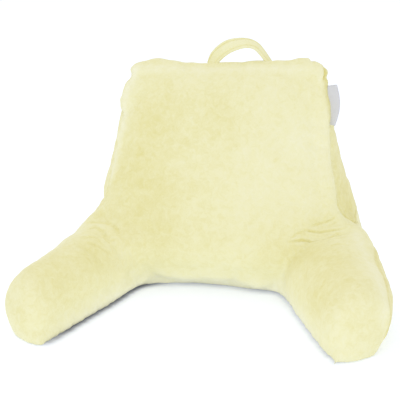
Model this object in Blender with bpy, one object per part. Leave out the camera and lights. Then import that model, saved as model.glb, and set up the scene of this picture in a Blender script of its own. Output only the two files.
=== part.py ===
"""Reading pillow: a stuffed backrest with two arms, a strap handle and a folded side tab.

Metres, +Z up. The pillow stands on the floor at z = 0 and faces -Y.
It is modelled with the front of its base near y = 0, and moved at the end so that the
middle of its footprint is the origin.
"""

import math
from collections import namedtuple

import bmesh
import bpy
import numpy as np
from mathutils import Vector
from mathutils.bvhtree import BVHTree

# Driving dimensions of the cushion
SEAT_HALF_WIDTH = 0.149
REAR_CROWN = 0.016
BAND_CROWN = 0.010
TIP_BULGE = 0.016

# How hard the sewn edges stand out, from 0, rounded away, to 1, a sharp edge
SEAM_CREASE = 0.75
BASE_CREASE = 1.0
CORNER_POINT = 0.6
ROUNDING_LEVELS = 2

# The backrest, level by level from the floor. First the front seam, then the rear seam:
# height, distance back and half width. Crown is how far the middle of the face stands
# forward of its sides, lean how far the level is pushed to the right, and tilt how much
# its right end is higher than its middle.
Level = namedtuple("Level", "front_z front_y front_half crown rear_z rear_y rear_half lean tilt")
LEVELS = (
    Level(0.000, 0.005, 0.290, -0.036, 0.000, 0.238, 0.272, 0.002, 0.000),
    Level(0.040, -0.002, 0.322, 0.006, 0.045, 0.246, 0.288, 0.012, 0.000),
    Level(0.084, -0.002, 0.322, 0.024, 0.095, 0.245, 0.288, 0.015, 0.000),
    Level(0.127, 0.010, 0.297, 0.034, 0.140, 0.238, 0.276, 0.018, 0.001),
    Level(0.170, 0.030, 0.238, 0.036, 0.190, 0.232, 0.258, 0.014, 0.002),
    Level(0.245, 0.054, 0.229, 0.036, 0.255, 0.223, 0.238, 0.014, 0.002),
    Level(0.318, 0.084, 0.221, 0.034, 0.320, 0.212, 0.217, 0.013, 0.004),
    Level(0.388, 0.112, 0.214, 0.026, 0.388, 0.200, 0.200, 0.012, 0.007),
    Level(0.448, 0.134, 0.206, 0.006, 0.438, 0.188, 0.190, 0.011, 0.008),
)
ARM_LEVEL = 3
TOP_LEVEL = len(LEVELS) - 1

# Columns of the cage out from the middle, as shares of the half width. The arms start
# from the column at the seat's corner.
COLUMN_SHARES = (0.0, 0.31, 0.60, 0.82, 1.0)
LAST_COLUMN = len(COLUMN_SHARES) - 1
ARM_COLUMN = 2
REAR_ROW = 3

# The arm's section, round from its inner edge on the floor: the column and level that it
# starts from, its share of the width, what it stands past that, and its share of the height
Rib = namedtuple("Rib", "column level across proud height")
ARM_RIBS = (
    Rib(2, 0, 0.00, 0.000, 0.00),
    Rib(2, 1, 0.00, -0.010, 0.32),
    Rib(2, 2, 0.00, -0.006, 0.68),
    Rib(2, 3, 0.19, 0.000, 0.96),
    Rib(3, 3, 0.53, 0.000, 1.10),
    Rib(4, 3, 0.88, 0.000, 0.88),
    Rib(4, 2, 1.00, 0.006, 0.56),
    Rib(4, 1, 0.98, 0.000, 0.25),
    Rib(4, 0, 0.74, 0.000, 0.00),
    Rib(3, 0, 0.38, 0.000, 0.00),
)
INNER_FLOOR_RIB = 0
ARM_SEAM_RIB = 5
OUTER_FLOOR_RIB = 8

# Each arm: where the inner corner of its tip stands, its widths at root and tip, how far
# its end is turned outwards in degrees, and how full it is
Arm = namedtuple("Arm", "side tip_x reach root_width tip_width turn fullness")
ARMS = (
    Arm(-1, 0.274, 0.314, 0.144, 0.101, 35.0, 0.96),
    Arm(1, 0.272, 0.310, 0.204, 0.123, 33.0, 1.00),
)

# Stations along the arm: how far out from the root, and height
Station = namedtuple("Station", "along height")
ARM_STATIONS = (
    Station(0.20, 0.138),
    Station(0.42, 0.133),
    Station(0.64, 0.133),
    Station(0.84, 0.133),
    Station(1.00, 0.124),
)

# Folds and tucks of the cover. A positive depth is a trough, a negative one a ridge.
# The path's points are across, back and up.
Fold = namedtuple("Fold", "depth width path")
FOLDS = (
    # right arm, three creases that fan from the shoulder to the corner of the seat
    Fold(0.003, 0.008, ((0.262, 0.024, 0.162), (0.235, 0.015, 0.160), (0.205, 0.005, 0.154))),
    Fold(0.005, 0.009, ((0.282, 0.024, 0.152), (0.241, 0.012, 0.153), (0.206, 0.003, 0.150),
                        (0.175, -0.007, 0.142))),
    Fold(-0.003, 0.008, ((0.280, 0.013, 0.146), (0.240, 0.006, 0.147), (0.196, -0.008, 0.141))),
    Fold(0.006, 0.010, ((0.285, 0.004, 0.136), (0.236, -0.002, 0.140), (0.197, -0.015, 0.134),
                        (0.163, -0.020, 0.127))),
    # left arm, arcs round the shoulder and a soft hollow below them
    Fold(0.005, 0.010, ((-0.246, 0.014, 0.147), (-0.204, 0.000, 0.142), (-0.182, -0.022, 0.133),
                        (-0.168, -0.042, 0.118))),
    Fold(-0.003, 0.008, ((-0.240, -0.004, 0.141), (-0.206, -0.022, 0.137), (-0.182, -0.036, 0.126))),
    Fold(0.004, 0.009, ((-0.234, -0.022, 0.138), (-0.193, -0.046, 0.130), (-0.168, -0.044, 0.114))),
    Fold(0.004, 0.010, ((-0.216, -0.077, 0.131), (-0.189, -0.066, 0.119), (-0.163, -0.052, 0.095))),
    Fold(0.004, 0.020, ((-0.222, -0.115, 0.124), (-0.192, -0.109, 0.093))),
    # the tuck under each end of the side band, where the arm's cover is gathered in
    Fold(0.007, 0.015, ((0.258, 0.034, 0.172), (0.282, 0.070, 0.156), (0.288, 0.120, 0.158),
                        (0.282, 0.190, 0.172))),
    Fold(0.006, 0.015, ((-0.232, 0.034, 0.172), (-0.254, 0.070, 0.158), (-0.260, 0.120, 0.160),
                        (-0.254, 0.190, 0.172))),
    # long shallow dip along the middle of the top edge
    Fold(0.004, 0.026, ((-0.090, 0.140, 0.452), (-0.020, 0.140, 0.453), (0.040, 0.140, 0.455))),
)

# Gathers of the front seam: height on the side seam, or place along the top seam, and depth
SEAM_GATHERS = {
    -1: ((0.428, 0.006), (0.392, 0.002), (0.352, 0.006), (0.318, 0.003), (0.284, 0.005),
         (0.246, 0.003), (0.214, 0.002), (0.186, 0.004)),
    1: ((0.420, 0.005), (0.382, 0.002), (0.340, 0.002), (0.300, 0.003), (0.262, 0.002),
        (0.222, 0.003), (0.192, 0.002)),
}
TOP_GATHERS = ((-0.160, 0.003), (-0.118, 0.002), (-0.062, 0.004), (-0.012, 0.002),
               (0.048, 0.003), (0.092, 0.002), (0.150, 0.004), (0.184, 0.003))
GATHER_REACH = 0.030
GATHER_WIDTH = 0.009

# The cover's faces are split once more near the folds that are at least this deep
FINE_DEPTH = 0.003
FINE_REACH = 1.6
FINE_EDGE = 0.011

# Plump places: across, back, up, radius and how far they swell
Lump = namedtuple("Lump", "x y z radius rise")
LUMPS = (
    Lump(-0.186, 0.146, 0.444, 0.020, 0.007),
    Lump(-0.140, 0.186, 0.446, 0.020, 0.006),
    Lump(0.176, 0.186, 0.452, 0.022, 0.009),
    Lump(0.214, 0.138, 0.438, 0.020, 0.008),
    Lump(-0.206, 0.106, 0.378, 0.026, 0.005),
    Lump(-0.215, 0.078, 0.300, 0.024, 0.003),
    Lump(0.105, 0.004, 0.010, 0.040, 0.012),
    Lump(0.312, -0.010, 0.120, 0.050, 0.011),
)

# Strap handle, bend by bend: across, height over the top of the cushion, and how far the
# strap's face is turned to the front, in degrees
STRAP_WIDTH = 0.028
STRAP_THICKNESS = 0.0075
STRAP_BACK = 0.176
STRAP_STEPS = 26
STRAP_SIDES = 12
Bend = namedtuple("Bend", "x rise turn")
STRAP_BENDS = (
    Bend(-0.023, 0.000, 38.0),
    Bend(-0.012, 0.016, 56.0),
    Bend(0.007, 0.033, 62.0),
    Bend(0.029, 0.041, 44.0),
    Bend(0.051, 0.043, 24.0),
    Bend(0.069, 0.033, 12.0),
    Bend(0.083, 0.017, 8.0),
    Bend(0.096, 0.000, 8.0),
)

# Side tab, a tape folded double and sewn into the front seam
TAB_LOW = 0.334
TAB_HIGH = 0.418
TAB_REACH = 0.018
TAB_SWELL = 0.005
TAB_THICKNESS = 0.0018
TAB_STEPS = 14

# Gap between pieces that touch
SEAT_GAP = 0.0005


def remove_everything():
    for item in list(bpy.data.objects):
        bpy.data.objects.remove(item, do_unlink=True)


def make_material(name, colour, roughness, sheen):
    material = bpy.data.materials.new(name)
    material.use_nodes = True
    shader = material.node_tree.nodes["Principled BSDF"]
    shader.inputs["Base Color"].default_value = (*colour, 1.0)
    shader.inputs["Roughness"].default_value = roughness
    shader.inputs["Metallic"].default_value = 0.0
    shader.inputs["Sheen Weight"].default_value = sheen
    material.diffuse_color = (*colour, 1.0)
    return material


def add_object(name, mesh, material):
    data = bpy.data.meshes.new(name)
    mesh.to_mesh(data)
    mesh.free()
    data.materials.append(material)
    data.shade_smooth()
    item = bpy.data.objects.new(name, data)
    bpy.context.scene.collection.objects.link(item)
    return item


def block_place(column, row, level):
    """Place of a cage point of the backrest: column across, row from front to rear."""
    sizes = LEVELS[level]
    side = math.copysign(1.0, column)
    share = COLUMN_SHARES[abs(column)]
    back = row / REAR_ROW
    half = (1.0 - back) * sizes.front_half + back * sizes.rear_half
    across = share * half
    if row == 0 and level <= ARM_LEVEL and abs(column) <= ARM_COLUMN:
        across = share / COLUMN_SHARES[ARM_COLUMN] * SEAT_HALF_WIDTH
    if row == 0 and level <= ARM_LEVEL and abs(column) == ARM_COLUMN + 1:
        across = 0.5 * (SEAT_HALF_WIDTH + half)
    bow = 1.0 - (across / half) ** 2
    front = sizes.front_y - sizes.crown * bow
    rear = sizes.rear_y + REAR_CROWN * bow
    y = (1.0 - back) * front + back * rear
    z = (1.0 - back) * sizes.front_z + back * sizes.rear_z + side * share * sizes.tilt
    middle_of_band = 4.0 * back * (1.0 - back)
    if level == TOP_LEVEL:
        z += BAND_CROWN * middle_of_band
    elif level > ARM_LEVEL and abs(column) == LAST_COLUMN:
        across += BAND_CROWN * middle_of_band
    return Vector((side * across + sizes.lean, y, z))


def arm_place(arm, station, rib):
    """Place of a cage point on one of the arm's rings."""
    inner_x = SEAT_HALF_WIDTH + station.along * (arm.tip_x - SEAT_HALF_WIDTH)
    inner_y = -station.along * arm.reach
    turn = station.along * math.radians(arm.turn)
    width = arm.root_width + station.along * (arm.tip_width - arm.root_width)
    reach = rib.across * width + rib.proud
    x = inner_x + reach * math.cos(turn)
    y = inner_y + reach * math.sin(turn)
    return Vector((arm.side * x, y, rib.height * station.height * arm.fullness))


def add_sheet(mesh, lines):
    """Faces between neighbouring lines of vertices."""
    for lower, upper in zip(lines, lines[1:]):
        for corner in range(len(lower) - 1):
            mesh.faces.new((lower[corner], lower[corner + 1], upper[corner + 1], upper[corner]))


def crease_path(mesh, layer, path, amount):
    for start, end in zip(path, path[1:]):
        mesh.edges.get((start, end))[layer] = amount


def add_block(mesh, crease):
    """The backrest's part of the cage. It is left open where the arms grow out of it."""
    points = {}
    columns = range(-LAST_COLUMN, LAST_COLUMN + 1)
    rows = range(REAR_ROW + 1)
    levels = range(TOP_LEVEL + 1)
    for column in columns:
        for row in rows:
            for level in levels:
                on_side = abs(column) == LAST_COLUMN or row in (0, REAR_ROW)
                on_surface = on_side or level in (0, TOP_LEVEL)
                inside_arm = row == 0 and abs(column) == ARM_COLUMN + 1 and 0 < level < ARM_LEVEL
                if on_surface and not inside_arm:
                    points[column, row, level] = mesh.verts.new(block_place(column, row, level))

    seat_columns = range(-ARM_COLUMN, ARM_COLUMN + 1)
    add_sheet(mesh, [[points[i, 0, k] for i in seat_columns] for k in range(ARM_LEVEL + 1)])
    add_sheet(mesh, [[points[i, 0, k] for i in columns] for k in range(ARM_LEVEL, TOP_LEVEL + 1)])
    add_sheet(mesh, [[points[i, REAR_ROW, k] for i in columns] for k in levels])
    add_sheet(mesh, [[points[i, j, TOP_LEVEL] for i in columns] for j in rows])
    add_sheet(mesh, [[points[i, j, 0] for i in columns] for j in rows])
    for end in (-LAST_COLUMN, LAST_COLUMN):
        add_sheet(mesh, [[points[end, j, k] for j in rows] for k in levels])

    for end in (-LAST_COLUMN, LAST_COLUMN):
        front_seam = [points[end, 0, k] for k in range(ARM_LEVEL, TOP_LEVEL + 1)]
        rear_seam = [points[end, REAR_ROW, k] for k in levels]
        crease_path(mesh, crease, front_seam, SEAM_CREASE)
        crease_path(mesh, crease, rear_seam, SEAM_CREASE)
        crease_path(mesh, crease, [points[end, j, 0] for j in rows], BASE_CREASE)
    for row in (0, REAR_ROW):
        crease_path(mesh, crease, [points[i, row, TOP_LEVEL] for i in columns], SEAM_CREASE)
    crease_path(mesh, crease, [points[i, REAR_ROW, 0] for i in columns], BASE_CREASE)
    crease_path(mesh, crease, [points[i, 0, 0] for i in seat_columns], BASE_CREASE)
    return points


def add_arm(mesh, crease, corner, arm, points):
    """One arm: rings from the backrest out to the tip, which a small patch closes."""
    rings = [[points[arm.side * rib.column, 0, rib.level] for rib in ARM_RIBS]]
    for station in ARM_STATIONS:
        rings.append([mesh.verts.new(arm_place(arm, station, rib)) for rib in ARM_RIBS])
    add_sheet(mesh, [ring + ring[:1] for ring in rings])

    tip = {(rib.column, rib.level): vertex for rib, vertex in zip(ARM_RIBS, rings[-1])}
    turn = math.radians(arm.turn)
    outwards = Vector((arm.side * math.sin(turn), -math.cos(turn), 0.0))
    for level in range(1, ARM_LEVEL):
        middle = 0.5 * (tip[2, level].co + tip[4, level].co)
        tip[3, level] = mesh.verts.new(middle + TIP_BULGE * outwards)
    add_sheet(mesh, [[tip[i, k] for i in (2, 3, 4)] for k in range(ARM_LEVEL + 1)])

    tip[2, 0][corner] = CORNER_POINT
    along = list(zip(*rings))
    crease_path(mesh, crease, along[INNER_FLOOR_RIB], BASE_CREASE)
    crease_path(mesh, crease, along[OUTER_FLOOR_RIB], BASE_CREASE)
    crease_path(mesh, crease, along[ARM_SEAM_RIB], SEAM_CREASE)
    crease_path(mesh, crease, [tip[i, 0] for i in (2, 3, 4)], BASE_CREASE)
    crease_path(mesh, crease, [tip[4, k] for k in range(ARM_LEVEL + 1)], SEAM_CREASE)


def rounded_mesh(cage):
    """The cage as a smooth mesh, with the subdivision applied."""
    data = bpy.data.meshes.new("cage")
    cage.to_mesh(data)
    cage.free()
    item = bpy.data.objects.new("cage", data)
    bpy.context.scene.collection.objects.link(item)
    rounding = item.modifiers.new("rounding", "SUBSURF")
    rounding.levels = ROUNDING_LEVELS
    rounding.render_levels = ROUNDING_LEVELS
    graph = bpy.context.evaluated_depsgraph_get()
    mesh = bmesh.new()
    mesh.from_object(item, graph)
    bpy.data.objects.remove(item, do_unlink=True)
    return mesh


def path_weights(places, path, width):
    """How strongly a fold along the path acts on each place, fading at both ends."""
    path = np.array(path)
    lengths = np.linalg.norm(np.diff(path, axis=0), axis=1)
    starts = np.concatenate(([0.0], np.cumsum(lengths)))
    nearest = np.full(len(places), np.inf)
    along = np.zeros(len(places))
    for start, end, length, before in zip(path, path[1:], lengths, starts):
        share = np.clip((places - start) @ (end - start) / length ** 2, 0.0, 1.0)
        distance = np.linalg.norm(places - start - share[:, None] * (end - start), axis=1)
        closer = distance < nearest
        nearest[closer] = distance[closer]
        along[closer] = ((before + share * length) / starts[-1])[closer]
    fade = np.clip(4.0 * along + 0.2, 0.0, 1.0) * np.clip(4.2 - 4.0 * along, 0.0, 1.0)
    return fade * np.exp(-((nearest / width) ** 2))


def side_seam_place(side, height):
    """A point on the side seam of the front panel at the given height."""
    heights = [level.front_z for level in LEVELS]
    half = np.interp(height, heights, [level.front_half for level in LEVELS])
    lean = np.interp(height, heights, [level.lean for level in LEVELS])
    back = np.interp(height, heights, [level.front_y for level in LEVELS])
    return side * half + lean, back, height


def gather_folds():
    """Short tucks across the front seam, where its stitching pulls the cover in."""
    folds = []
    for side, gathers in SEAM_GATHERS.items():
        for height, depth in gathers:
            x, y, z = side_seam_place(side, height)
            inner = (x - side * GATHER_REACH, y - 0.2 * GATHER_REACH, z)
            outer = (x, y + 0.5 * GATHER_REACH, z)
            folds.append(Fold(depth, GATHER_WIDTH, (inner, (x, y, z), outer)))
    top = LEVELS[TOP_LEVEL]
    for x, depth in TOP_GATHERS:
        low = (x, top.front_y - 0.4 * GATHER_REACH, top.front_z - GATHER_REACH)
        high = (x, top.front_y + 0.5 * GATHER_REACH, top.front_z)
        folds.append(Fold(depth, GATHER_WIDTH, (low, (x, top.front_y, top.front_z), high)))
    return folds


def refine_near_folds(mesh, folds):
    """Split the faces near the deeper folds, so that the folds keep their shape."""
    edges = [edge for edge in mesh.edges if edge.calc_length() > FINE_EDGE]
    ends = np.array([[vertex.co for vertex in edge.verts] for edge in edges])
    near = np.zeros(len(edges), dtype=bool)
    for fold in folds:
        if abs(fold.depth) >= FINE_DEPTH:
            limit = math.exp(-(FINE_REACH ** 2))
            near |= path_weights(ends.mean(axis=1), fold.path, fold.width) > 0.5 * limit
    near &= ends[:, :, 2].min(axis=1) > 1e-5
    chosen = [edge for edge, is_near in zip(edges, near) if is_near]
    bmesh.ops.subdivide_edges(mesh, edges=chosen, cuts=1, use_grid_fill=True, smooth=0.6)


def shape_cover(mesh):
    """Press the folds and gathers in and swell the plump places, but keep the base flat."""
    folds = list(FOLDS) + gather_folds()
    refine_near_folds(mesh, folds)
    mesh.normal_update()
    vertices = list(mesh.verts)
    places = np.array([vertex.co for vertex in vertices])
    move = np.zeros(len(vertices))
    for fold in folds:
        move -= fold.depth * path_weights(places, fold.path, fold.width)
    for lump in LUMPS:
        distance = np.linalg.norm(places - np.array((lump.x, lump.y, lump.z)), axis=1)
        move += lump.rise * np.exp(-((distance / lump.radius) ** 2))
    for vertex, amount in zip(vertices, move):
        on_floor = vertex.co.z < 1e-5
        vertex.co += float(amount) * vertex.normal
        vertex.co.z = 0.0 if on_floor else max(vertex.co.z, 0.001)


def merge_base(mesh):
    """Make the flat base one face, which saves faces that shape nothing."""
    base = [face for face in mesh.faces if all(vertex.co.z == 0.0 for vertex in face.verts)]
    bmesh.ops.dissolve_faces(mesh, faces=base, use_verts=False)


def build_cushion(material):
    mesh = bmesh.new()
    crease = mesh.edges.layers.float.new("crease_edge")
    corner = mesh.verts.layers.float.new("crease_vert")
    points = add_block(mesh, crease)
    for arm in ARMS:
        add_arm(mesh, crease, corner, arm, points)
    bmesh.ops.recalc_face_normals(mesh, faces=mesh.faces)
    mesh = rounded_mesh(mesh)
    shape_cover(mesh)
    merge_base(mesh)
    return add_object("pillow_body", mesh, material)


def smooth_line(values, steps):
    """Values read along a smooth curve through the given ones, evenly by index."""
    values = np.array(values, dtype=float)
    padded = np.vstack((2 * values[0] - values[1], values, 2 * values[-1] - values[-2]))
    line = []
    for step in range(steps + 1):
        position = step / steps * (len(values) - 1)
        index = min(int(position), len(values) - 2)
        t = position - index
        before, start, end, after = padded[index:index + 4]
        curve = 2 * start + (end - before) * t
        curve = curve + (2 * before - 5 * start + 4 * end - after) * t ** 2
        curve = curve + (3 * start - before - 3 * end + after) * t ** 3
        line.append(0.5 * curve)
    return np.array(line)


def surface_height(surface, x, y):
    """Height of the cushion's upper surface over a place on the floor."""
    hit = surface.ray_cast(Vector((x, y, 1.0)), Vector((0.0, 0.0, -1.0)))
    return hit[0].z


def surface_side(surface, y, z):
    """How far out the cushion's right side reaches."""
    hit = surface.ray_cast(Vector((1.0, y, z)), Vector((-1.0, 0.0, 0.0)))
    return hit[0].x


def strap_ring(mesh, middle, along, turn):
    """One section of the strap: a flat oval whose face is turned to the front."""
    back = Vector((0.0, 1.0, 0.0))
    up = back.cross(along).normalized()
    wide = math.cos(turn) * back - math.sin(turn) * up
    thick = along.cross(wide).normalized()
    ring = []
    for side in range(STRAP_SIDES):
        angle = 2.0 * math.pi * side / STRAP_SIDES
        across = math.copysign(abs(math.cos(angle)) ** 0.6, math.cos(angle))
        deep = math.copysign(abs(math.sin(angle)) ** 0.8, math.sin(angle))
        offset = 0.5 * STRAP_WIDTH * across * wide + 0.5 * STRAP_THICKNESS * deep * thick
        ring.append(mesh.verts.new(middle + offset))
    return ring


def build_strap(surface, material):
    """The carry handle, a soft strap that stands in a low arch on the cushion's top."""
    mesh = bmesh.new()
    first = STRAP_BENDS[0]
    last = STRAP_BENDS[-1]
    seats = [surface_height(surface, bend.x, STRAP_BACK) for bend in (first, last)]
    table = []
    for bend in STRAP_BENDS:
        share = (bend.x - first.x) / (last.x - first.x)
        seat = (1.0 - share) * seats[0] + share * seats[1]
        table.append((bend.x, STRAP_BACK, seat + bend.rise, math.radians(bend.turn)))
    line = smooth_line(table, STRAP_STEPS)
    rings = []
    for index, (x, y, z, turn) in enumerate(line):
        before = line[max(index - 1, 0)]
        after = line[min(index + 1, STRAP_STEPS)]
        along = Vector((after - before)[:3]).normalized()
        rings.append(strap_ring(mesh, Vector((x, y, z)), along, turn))
    # Both ends are cut to lie on the cushion
    for ring in (rings[0], rings[-1]):
        for vertex in ring:
            vertex.co.z = surface_height(surface, vertex.co.x, vertex.co.y) + SEAT_GAP
    for ring in rings[1:-1]:
        for vertex in ring:
            lowest = surface_height(surface, vertex.co.x, vertex.co.y) + SEAT_GAP
            vertex.co.z = max(vertex.co.z, lowest + 0.002)
    add_sheet(mesh, [ring + ring[:1] for ring in rings])
    half_round = STRAP_SIDES // 2
    for ring in (rings[0], rings[-1]):
        upper = ring[1:half_round]
        lower = ring[:half_round:-1]
        add_sheet(mesh, [upper, lower])
        mesh.faces.new((ring[0], upper[0], lower[0]))
        mesh.faces.new((ring[half_round], lower[-1], upper[-1]))
    bmesh.ops.recalc_face_normals(mesh, faces=mesh.faces)
    return add_object("carry_handle", mesh, material)


def build_tab(surface, material):
    """The side tab: a thin curved leaf whose inner edge follows the right side seam."""
    mesh = bmesh.new()
    shares = (0.0, 0.35, 0.7, 0.92, 1.0)
    rings = []
    for step in range(TAB_STEPS + 1):
        share = step / TAB_STEPS
        height = TAB_LOW + share * (TAB_HIGH - TAB_LOW)
        seam_x, y, z = side_seam_place(1, height)
        edges = [surface_side(surface, y + edge * TAB_THICKNESS, z) for edge in (-0.5, 0.0, 0.5)]
        start = max(edges) + SEAT_GAP
        reach = TAB_REACH + TAB_SWELL * math.sin(math.pi * share)
        front = []
        rear = []
        for out in shares:
            half = 0.5 * TAB_THICKNESS * math.sqrt(max(1.0 - max(out - 0.7, 0.0) ** 2 / 0.1, 0.1))
            x = start + out * reach
            curl = 0.004 * out ** 2
            front.append(mesh.verts.new((x, y - curl - half, z + 0.004 * out)))
            rear.append(mesh.verts.new((x, y - curl + half, z + 0.004 * out)))
        rings.append(front + rear[::-1])
    add_sheet(mesh, [ring + ring[:1] for ring in rings])
    for ring in (rings[0], rings[-1]):
        count = len(shares)
        front = ring[:count]
        rear = ring[count:][::-1]
        add_sheet(mesh, [front, rear])
    bmesh.ops.recalc_face_normals(mesh, faces=mesh.faces)
    return add_object("side_tab", mesh, material)


def move_to_origin(pieces):
    """Move the pieces so that the middle of their common footprint is the origin."""
    places = np.array([vertex.co for piece in pieces for vertex in piece.data.vertices])
    middle = 0.5 * (places.min(axis=0) + places.max(axis=0))
    for piece in pieces:
        for vertex in piece.data.vertices:
            vertex.co.x -= middle[0]
            vertex.co.y -= middle[1]
    print("moved by", -middle[0], -middle[1])


def main():
    remove_everything()
    plush = make_material("yellow_plush", (0.86, 0.82, 0.50), 0.9, 0.5)
    strap_plush = make_material("yellow_plush_strap", (0.84, 0.80, 0.48), 0.9, 0.5)
    tape = make_material("grey_woven_tape", (0.63, 0.63, 0.62), 0.7, 0.1)
    cushion = build_cushion(plush)
    graph = bpy.context.evaluated_depsgraph_get()
    surface = BVHTree.FromObject(cushion, graph)
    strap = build_strap(surface, strap_plush)
    tab = build_tab(surface, tape)
    move_to_origin((cushion, strap, tab))


main()
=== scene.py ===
# %% [markdown]
# A reading pillow is a stuffed backrest with two arms, for sitting up in bed. This one is covered in
# pale yellow velour plush. It has a strap handle on top and a short grey tape in its side seam.
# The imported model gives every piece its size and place. The cells below make the pieces one by one,
# then their finishes, and each says what the piece is on the real pillow and how it is made here.

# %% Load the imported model
import math
from collections import namedtuple

import bpy
import numpy as np
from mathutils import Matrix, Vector, noise
from mathutils.bvhtree import BVHTree
from mathutils.kdtree import KDTree


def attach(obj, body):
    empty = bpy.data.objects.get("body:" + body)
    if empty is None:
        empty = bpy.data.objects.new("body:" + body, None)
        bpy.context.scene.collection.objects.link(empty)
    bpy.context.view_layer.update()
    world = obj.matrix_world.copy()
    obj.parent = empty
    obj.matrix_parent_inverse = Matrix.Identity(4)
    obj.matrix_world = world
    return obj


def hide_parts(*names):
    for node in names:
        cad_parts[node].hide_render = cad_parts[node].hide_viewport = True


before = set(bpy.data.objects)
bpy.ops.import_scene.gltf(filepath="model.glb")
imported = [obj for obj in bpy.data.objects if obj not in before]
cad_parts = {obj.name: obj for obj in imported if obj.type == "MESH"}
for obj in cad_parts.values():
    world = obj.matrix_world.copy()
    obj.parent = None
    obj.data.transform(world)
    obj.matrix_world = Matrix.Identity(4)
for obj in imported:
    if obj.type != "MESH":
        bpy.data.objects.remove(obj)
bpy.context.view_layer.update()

# %% [markdown]
# The picture is a shop photograph: taken from a little above and a little to the right, from far
# enough that the arms keep their true size. A long lens at 2.4 m does that. A direction round the
# object is an azimuth, counted from its front towards its right side, and an elevation.

# %% The camera
AIM = Vector((-0.0282, 0.0259, 0.199))
CAMERA_AZIMUTH = 9.0
CAMERA_ELEVATION = 18.0
CAMERA_DISTANCE = 2.4
LENS_MM = 106.2
SENSOR_MM = 36.0


def direction(azimuth, elevation):
    """Unit vector from the object towards a place round it, angles in degrees."""
    turn = math.radians(azimuth)
    rise = math.radians(elevation)
    return Vector((math.sin(turn) * math.cos(rise), -math.cos(turn) * math.cos(rise), math.sin(rise)))


view_back = direction(CAMERA_AZIMUTH, CAMERA_ELEVATION)
bpy.ops.object.camera_add(location=AIM + CAMERA_DISTANCE * view_back)
camera = bpy.context.active_object
camera.rotation_euler = (-view_back).to_track_quat("-Z", "Y").to_euler()
camera.data.lens = LENS_MM
camera.data.sensor_width = SENSOR_MM
bpy.context.scene.camera = camera
print("camera at", [round(v, 3) for v in camera.location])

# %% [markdown]
# The pillow stands in soft, even light. The sky gives light from everywhere, and two large round
# lamps give a little more. A large lamp is a soft lamp.

# %% Sky and lamps
world = bpy.data.worlds.new("studio_air")
world.use_nodes = True
world.node_tree.nodes["Background"].inputs["Color"].default_value = (1.0, 1.0, 1.0, 1.0)
world.node_tree.nodes["Background"].inputs["Strength"].default_value = 0.885
bpy.context.scene.world = world

Lamp = namedtuple("Lamp", "name azimuth elevation distance size watts")
LAMPS = (
    Lamp("front_softbox", 5.0, 24.0, 2.6, 1.5, 5.2),
    Lamp("rear_softbox", -140.0, 60.0, 2.6, 1.5, 4.0),
)
for lamp in LAMPS:
    towards = direction(lamp.azimuth, lamp.elevation)
    bpy.ops.object.light_add(type="AREA", location=AIM + lamp.distance * towards)
    light = bpy.context.active_object
    light.name = lamp.name
    light.rotation_euler = (-towards).to_track_quat("-Z", "Y").to_euler()
    light.data.shape = "DISK"
    light.data.size = lamp.size
    light.data.energy = lamp.watts
bpy.context.scene.view_settings.view_transform = "Standard"
print("lamps", [lamp.name for lamp in LAMPS])

# %% [markdown]
# The cushion is one stuffed body. Its cover is sewn from a front panel that runs on over the arms,
# a side band, a back and a base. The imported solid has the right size, so a copy of it is the
# start. It could be sculpted by hand, but cloth blown up from inside swells and pulls in at its
# seams as the real one does. For that the surface is first remade as even small squares.

# %% Copy the solid and remake its surface
SQUARE = 0.0078


def make_active(piece):
    """Select one piece alone."""
    bpy.ops.object.select_all(action="DESELECT")
    piece.select_set(True)
    bpy.context.view_layer.objects.active = piece


def copy_of(node_name, name):
    """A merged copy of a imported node's mesh, as a new object at the origin."""
    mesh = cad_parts[node_name].data.copy()
    mesh.materials.clear()
    piece = bpy.data.objects.new(name, mesh)
    bpy.context.scene.collection.objects.link(piece)
    make_active(piece)
    bpy.ops.object.mode_set(mode="EDIT")
    bpy.ops.mesh.select_all(action="SELECT")
    bpy.ops.mesh.remove_doubles(threshold=0.00002)
    bpy.ops.object.mode_set(mode="OBJECT")
    return piece


def apply(piece, kind, **settings):
    """Add a modifier with its settings and apply it."""
    make_active(piece)
    modifier = piece.modifiers.new(kind.lower(), kind)
    for key, value in settings.items():
        setattr(modifier, key, value)
    bpy.ops.object.modifier_apply(modifier=modifier.name)


cushion = copy_of("pillow_body", "plush_cushion")
apply(cushion, "REMESH", mode="VOXEL", voxel_size=SQUARE)
print("remade surface", len(cushion.data.vertices), "points")


# %% [markdown]
# Much of the work below moves the points of a mesh, so three helpers read and write them as
# arrays. A path is a few listed points, rounded into a smooth line.

# %% Helpers for points and paths
def read_points(piece):
    """A piece's points, one row each."""
    points = np.empty(3 * len(piece.data.vertices))
    piece.data.vertices.foreach_get("co", points)
    return points.reshape(-1, 3)


def write_points(piece, points):
    """Move a piece's points to new places."""
    piece.data.vertices.foreach_set("co", points.ravel())
    piece.data.update()


def read_normals(piece):
    """The way that the surface faces at each point."""
    normals = np.empty(3 * len(piece.data.vertices))
    piece.data.vertex_normals.foreach_get("vector", normals)
    return normals.reshape(-1, 3)


def smooth_path(places, pieces=6):
    """A smooth line through the places, with some points between each two."""
    places = np.array(places, dtype=float)
    padded = np.vstack((2 * places[0] - places[1], places, 2 * places[-1] - places[-2]))
    line = []
    for i in range(len(places) - 1):
        before, start, end, after = padded[i:i + 4]
        for k in range(pieces):
            t = k / pieces
            bend = (2 * before - 5 * start + 4 * end - after) * t ** 2
            bend = bend + (3 * start - before - 3 * end + after) * t ** 3
            line.append(start + 0.5 * ((end - before) * t + bend))
    line.append(places[-1])
    return np.array(line)


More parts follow.
